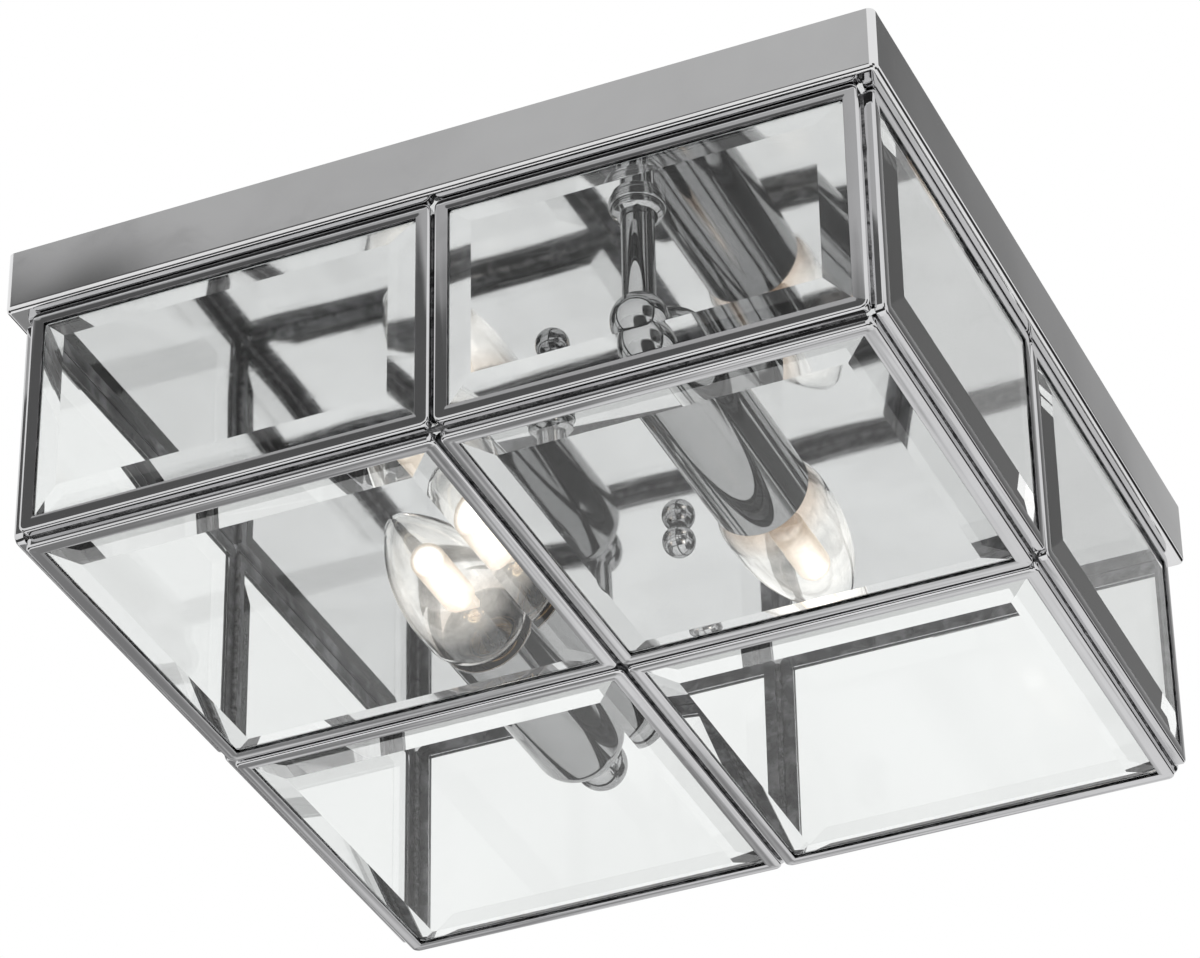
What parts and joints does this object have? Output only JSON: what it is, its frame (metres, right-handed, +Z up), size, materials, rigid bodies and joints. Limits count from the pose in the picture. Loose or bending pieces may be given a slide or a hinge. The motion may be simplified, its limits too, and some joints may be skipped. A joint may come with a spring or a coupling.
{
  "type": "ceiling light",
  "caption": "Square flush ceiling light: a hinged box of bevelled glass panes in chrome channel frames around chrome lamp arms with clear candle bulbs.",
  "frame": {"origin": "centre of the ceiling face, where the mounting bracket lies against the ceiling", "axes": "+Z up into the ceiling; +X to the right and -Y towards the viewer, along the sides of the square pan"},
  "size_m": [0.2859, 0.2808, 0.1059],
  "materials": {
    "pan_chrome": "mirror-bright chrome plating on pressed steel",
    "frame_chrome": "bright chrome plating on thin steel channel, slightly streaked",
    "arm_chrome": "polished chrome plating",
    "hinge_chrome": "bright chrome plating",
    "bevelled_glass": "clear polished glass with ground and polished bevels",
    "solder": "dull silver-grey solder",
    "bulb_glass": "thin clear glass",
    "bulb_capsule_glass": "glowing inner capsule",
    "bulb_mount_wire": "glass mount with steel wires",
    "bulb_cap_metal": "nickel-plated brass cap",
    "holder_ceramic": "unglazed white ceramic",
    "zinc_steel": "zinc-plated steel",
    "terminal_plastic": "white moulded plastic",
    "screw_brass": "plain brass",
    "lead_insulation": "translucent insulation"
  },
  "bodies": {
    "fixture": {"bracket_studs": "zinc_steel", "ceiling_pan": "pan_chrome", "collar_back": "arm_chrome", "collar_front": "arm_chrome", "hinge_leaves_fixed": "hinge_chrome", "hinge_pins": "hinge_chrome", "knuckle_back": "arm_chrome", "knuckle_front": "arm_chrome", "lamp_leads": "lead_insulation", "lamp_nipples": "zinc_steel", "lampholder_back": "holder_ceramic", "lampholder_front": "holder_ceramic", "lock_nuts": "zinc_steel", "mounting_bracket": "zinc_steel", "sleeve_back": "arm_chrome", "sleeve_front": "arm_chrome", "stem_back": "arm_chrome", "stem_front": "arm_chrome", "stem_nuts": "zinc_steel", "terminal_block": "terminal_plastic", "terminal_screws": "screw_brass", "thumb_boss": "hinge_chrome"},
    "glass_box": {"frame_back_left": "frame_chrome", "frame_back_right": "frame_chrome", "frame_bottom_back_left": "frame_chrome", "frame_bottom_back_right": "frame_chrome", "frame_bottom_front_left": "frame_chrome", "frame_bottom_front_right": "frame_chrome", "frame_front_left": "frame_chrome", "frame_front_right": "frame_chrome", "frame_left_back": "frame_chrome", "frame_left_front": "frame_chrome", "frame_right_back": "frame_chrome", "frame_right_front": "frame_chrome", "pane_back_left": "bevelled_glass", "pane_back_right": "bevelled_glass", "pane_bottom_back_left": "bevelled_glass", "pane_bottom_back_right": "bevelled_glass", "pane_bottom_front_left": "bevelled_glass", "pane_bottom_front_right": "bevelled_glass", "pane_front_left": "bevelled_glass", "pane_front_right": "bevelled_glass", "pane_left_back": "bevelled_glass", "pane_left_front": "bevelled_glass", "pane_right_back": "bevelled_glass", "pane_right_front": "bevelled_glass", "solder_seams": "solder", "hinge_leaves_moving": "hinge_chrome", "catch_tab": "hinge_chrome"},
    "thumb_screw": {"thumb_screw": "hinge_chrome"},
    "ball_nut_front": {"ball_nut_front": "arm_chrome"},
    "ball_nut_back": {"ball_nut_back": "arm_chrome"},
    "bulb_front": {"bulb_cap_front": "bulb_cap_metal", "bulb_capsule_front": "bulb_capsule_glass", "bulb_glass_front": "bulb_glass", "bulb_mount_front": "bulb_mount_wire"},
    "bulb_back": {"bulb_cap_back": "bulb_cap_metal", "bulb_capsule_back": "bulb_capsule_glass", "bulb_glass_back": "bulb_glass", "bulb_mount_back": "bulb_mount_wire"}
  },
  "joints": [
    {"name": "glass_box_hinge", "type": "hinge", "parent": "fixture", "child": "glass_box", "pos_m": [0, 0.1392, -0.0236], "axis": [1, 0, 0], "range_deg": [0, 90]},
    {"name": "thumb_screw_turn_out", "type": "slide", "parent": "fixture", "child": "thumb_screw", "axis": [-1, 0, 0], "range_m": [0, 0.004]},
    {"name": "ball_nut_front_off", "type": "slide", "parent": "fixture", "child": "ball_nut_front", "axis": [0, 0, -1], "range_m": [0, 0.012]},
    {"name": "ball_nut_back_off", "type": "slide", "parent": "fixture", "child": "ball_nut_back", "axis": [0, 0, -1], "range_m": [0, 0.012]},
    {"name": "bulb_front_out", "type": "slide", "parent": "fixture", "child": "bulb_front", "axis": [0, 1, 0], "range_m": [0, 0.036]},
    {"name": "bulb_back_out", "type": "slide", "parent": "fixture", "child": "bulb_back", "axis": [0, -1, 0], "range_m": [0, 0.036]}
  ]
}
